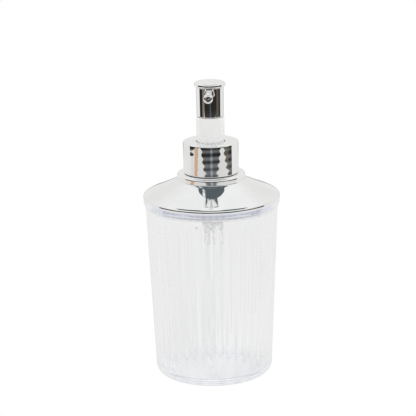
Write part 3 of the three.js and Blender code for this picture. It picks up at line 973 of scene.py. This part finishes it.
def make_table_surface():
    """A glowing top: white where it is seen directly, streaked through the bottle, grey in the chrome, where
    its front half carries painted shade.
    """
    material = bpy.data.materials.new("table top")
    material.use_nodes = True
    tree = material.node_tree
    place = add_node(tree, "TexCoord").outputs["Object"]
    along = add_node(tree, "Mapping", {0: place, "Scale": (60.0, 3.0, 1.0)}).outputs[0]
    streaks = add_node(tree, "TexNoise", {"Vector": along, "Scale": 1.0, "Detail": 3.0}).outputs["Fac"]
    streaked = blended(tree, ramp(tree, streaks, 0.35, 0.65), (0.93, 0.93, 0.93, 1), (0.80, 0.805, 0.803, 1))
    # Painted shade: seen in the chrome, the table's front half is greyer than its back half.
    backward = add_node(tree, "SeparateXYZ", {0: place}).outputs["Y"]
    behind = ramp(tree, backward, -0.05, 0.05)
    mirrored_shaded = blended(tree, behind, (0.74, 0.742, 0.722, 1), (0.82, 0.82, 0.80, 1))
    path = add_node(tree, "LightPath").outputs
    shade = blended(tree, ramp(tree, path["Transmission Depth"], 0, 1), mirrored_shaded, streaked)
    glow = add_node(tree, "Emission", {"Color": blended(tree, path["Is Camera Ray"], shade, WHITE)})
    tree.links.new(glow.outputs[0], tree.nodes["Material Output"].inputs["Surface"])
    return material


def make_wood():
    """Varnished pine edging, with its grain running along the table's side and painted shade darkening its
    far end.
    """
    material = bpy.data.materials.new("wood edging")
    material.use_nodes = True
    tree = material.node_tree
    place = add_node(tree, "TexCoord").outputs["Object"]
    along = add_node(tree, "Mapping", {0: place, "Scale": (90, 4, 1)}).outputs[0]
    grain = add_node(tree, "TexNoise", {"Vector": along, "Scale": 1.0, "Detail": 6.0}).outputs["Fac"]
    pine = blended(tree, ramp(tree, grain, 0.3, 0.7), (0.72, 0.46, 0.28, 1), (0.52, 0.30, 0.16, 1))
    distance = add_node(tree, "VectorMath", {0: place}, operation="LENGTH").outputs["Value"]
    # Painted shade: the edging goes dark with distance from the bottle.
    shade = blended(tree, ramp(tree, distance, 0.60, 0.68), pine, (0.17, 0.125, 0.09, 1))
    tree.links.new(shade, tree.nodes["Principled BSDF"].inputs["Base Color"])
    return material


def add_board(name, corners, height, material):
    """A flat board of the table, from the corners of its top."""
    mesh = bpy.data.meshes.new(name)
    mesh.from_pydata([(x, y, height) for x, y in corners], [], [(0, 1, 2, 3)])
    mesh.materials.append(material)
    board = bpy.data.objects.new(name, mesh)
    board.rotation_euler.z = STUDIO_TURN
    bpy.context.scene.collection.objects.link(board)
    return board


add_board("table_top", [
    (TABLE_LEFT, TABLE_FRONT),
    (TABLE_RIGHT, TABLE_FRONT),
    (TABLE_RIGHT, TABLE_BACK),
    (TABLE_LEFT, TABLE_BACK),
], 0, make_table_surface())
edging = add_board("table_edging", [
    (-0.40, -0.225),
    (-0.44, -0.125),
    (-0.77, -0.36),
    (-0.60, -0.61),
], EDGING_Z, make_wood())
edging.visible_camera = False
edging.visible_transmission = False


def reckoned(tree, operation, *values):
    """The result of one sum. Each value is a plain number or the output that feeds it."""
    return add_node(tree, "Math", dict(enumerate(values)), operation=operation).outputs[0]


def times(tree, first, second):
    """One value times another."""
    return reckoned(tree, "MULTIPLY", first, second)


def band(tree, value, low, high, soft):
    """1 where value lies between low and high, falling to 0 over a soft edge on each side."""
    rise = ramp(tree, value, low - soft, low + soft)
    fall = ramp(tree, value, high - soft, high + soft, 1.0, 0.0)
    return times(tree, rise, fall)


def room_angles(tree):
    """Where a direction points: degrees round from the room's front, and degrees above the horizon."""
    place = add_node(tree, "TexCoord").outputs["Generated"]
    direction = add_node(tree, "SeparateXYZ", {0: place}).outputs
    forward = times(tree, direction["Y"], -1.0)
    turn = reckoned(tree, "SUBTRACT", reckoned(tree, "ARCTAN2", direction["X"], forward), STUDIO_TURN)
    rise = reckoned(tree, "ARCSINE", direction["Z"])
    return times(tree, turn, 180 / math.pi), times(tree, rise, 180 / math.pi)


def with_dark_room(tree, walls, turn, rise):
    """Puts the unlit room in front, with a brown door and a pale gap in it. Its near part is greyer."""
    far = ramp(tree, rise, -14.6, -13.2)
    dark = blended(tree, far, (0.17, 0.175, 0.185, 1), (0.022, 0.022, 0.020, 1))
    in_room = times(tree, band(tree, turn, -97, 97, 1.5), ramp(tree, rise, 6, 12, 1.0, 0.0))
    room = blended(tree, in_room, walls, dark)
    brown = blended(tree, far, (0.22, 0.21, 0.19, 1), (0.115, 0.10, 0.07, 1))
    at_door = times(tree, band(tree, turn, 56, 78, 7), ramp(tree, rise, 5, 12, 1.0, 0.0))
    room = blended(tree, at_door, room, brown)
    pale_blue = blended(tree, far, (0.34, 0.38, 0.42, 1), (0.085, 0.095, 0.105, 1))
    at_gap = times(tree, band(tree, turn, -2.5, 6.5, 2.0), ramp(tree, rise, 8, 14, 1.0, 0.0))
    return blended(tree, at_gap, room, pale_blue)


def with_ceiling_gap(tree, room, turn, away, rise):
    """Puts a dark gap high over the room's front, with a lamp in it."""
    above_edge = reckoned(tree, "SUBTRACT", rise, ramp(tree, away, 20, 130, 61.6, 58.0))
    in_gap = times(tree, band(tree, turn, -118, 118, 6), band(tree, above_edge, 0, 22, 0.5))
    at_lamp = times(tree, band(tree, turn, -72, -50, 6), ramp(tree, rise, 64, 66, 1.0, 0.0))
    gap = blended(tree, at_lamp, (0.10, 0.125, 0.14, 1), (0.95, 0.96, 0.96, 1))
    return blended(tree, in_gap, room, gap)


def make_reflected_room(tree, turn, rise):
    """What the chrome shows: pale walls and ceiling round the dark room, and a grey wall low behind."""
    walls = blended(tree, ramp(tree, rise, 20, 60), (0.84, 0.84, 0.825, 1), (0.92, 0.925, 0.92, 1))
    room = with_dark_room(tree, walls, turn, rise)
    away = reckoned(tree, "ABSOLUTE", turn)
    behind = times(tree, ramp(tree, away, 148, 152), ramp(tree, rise, -4, -2, 1.0, 0.0))
    room = blended(tree, behind, room, (0.5, 0.5, 0.51, 1))
    return with_ceiling_gap(tree, room, turn, away, rise)


def make_panels(tree, turn):
    """What the clear wall shows: white panels with slightly greyer joints, all the way round."""
    wave = reckoned(tree, "SINE", times(tree, turn, 0.55))
    return blended(tree, ramp(tree, wave, -0.6, 0.6), (0.84, 0.845, 0.843, 1), (0.955, 0.955, 0.952, 1))


def make_room():
    """White where seen directly, panels through the bottle, and the room in the chrome.

    Light that scatters is a little stronger, and stronger again once it has come through the bottle,
    so that the white plastics inside stay white.
    """
    world = bpy.data.worlds.new("studio")
    world.use_nodes = True
    tree = world.node_tree
    turn, rise = room_angles(tree)
    path = add_node(tree, "LightPath").outputs
    scattered = ramp(tree, path["Diffuse Depth"], 0, 1)
    through_bottle = ramp(tree, path["Transmission Depth"], 0, 1)
    inside = times(tree, scattered, through_bottle)
    shown = times(tree, ramp(tree, through_bottle, 0, 1, 1.0, 0.3), ramp(tree, inside, 0, 1, 1.0, 0.0))
    shown = times(tree, path["Is Glossy Ray"], shown)
    colour = blended(tree, shown, make_panels(tree, turn), make_reflected_room(tree, turn, rise))
    colour = blended(tree, path["Is Camera Ray"], colour, WHITE)
    strength = reckoned(tree, "ADD", ramp(tree, scattered, 0, 1, 1.0, 1.2), inside)
    background = tree.nodes["Background"]
    tree.links.new(colour, background.inputs["Color"])
    tree.links.new(strength, background.inputs["Strength"])
    bpy.context.scene.world = world


make_room()

CAMERA_DISTANCE = 1.059
CAMERA_ELEVATION = math.radians(15.4)
CAMERA_ROLL = math.radians(-1.0)
CAMERA_TARGET = Vector((-0.0022, 0, 0.100))
CAMERA_LENS = 155.8


def add_camera():
    """A long lens, level with the studio's turn and a little above the bottle."""
    data = bpy.data.cameras.new("camera")
    data.sensor_width = 36
    data.lens = CAMERA_LENS
    data.clip_start, data.clip_end = 0.05, 20
    camera = bpy.data.objects.new("camera", data)
    bpy.context.scene.collection.objects.link(camera)
    studio = Matrix.Rotation(STUDIO_TURN, 3, "Z")
    back = studio @ Vector((0, -math.cos(CAMERA_ELEVATION), math.sin(CAMERA_ELEVATION)))
    camera.location = studio @ CAMERA_TARGET + back * CAMERA_DISTANCE
    camera.rotation_mode = "QUATERNION"
    camera.rotation_quaternion = back.to_track_quat("Z", "Y") @ Quaternion((0, 0, 1), CAMERA_ROLL)
    bpy.context.scene.camera = camera


add_camera()
scene = bpy.context.scene
scene.view_settings.view_transform = "Standard"
scene.cycles.max_bounces = 200  # light runs a long way inside the clear wall before it leaves
scene.cycles.transmission_bounces = 200
scene.cycles.glossy_bounces = 200
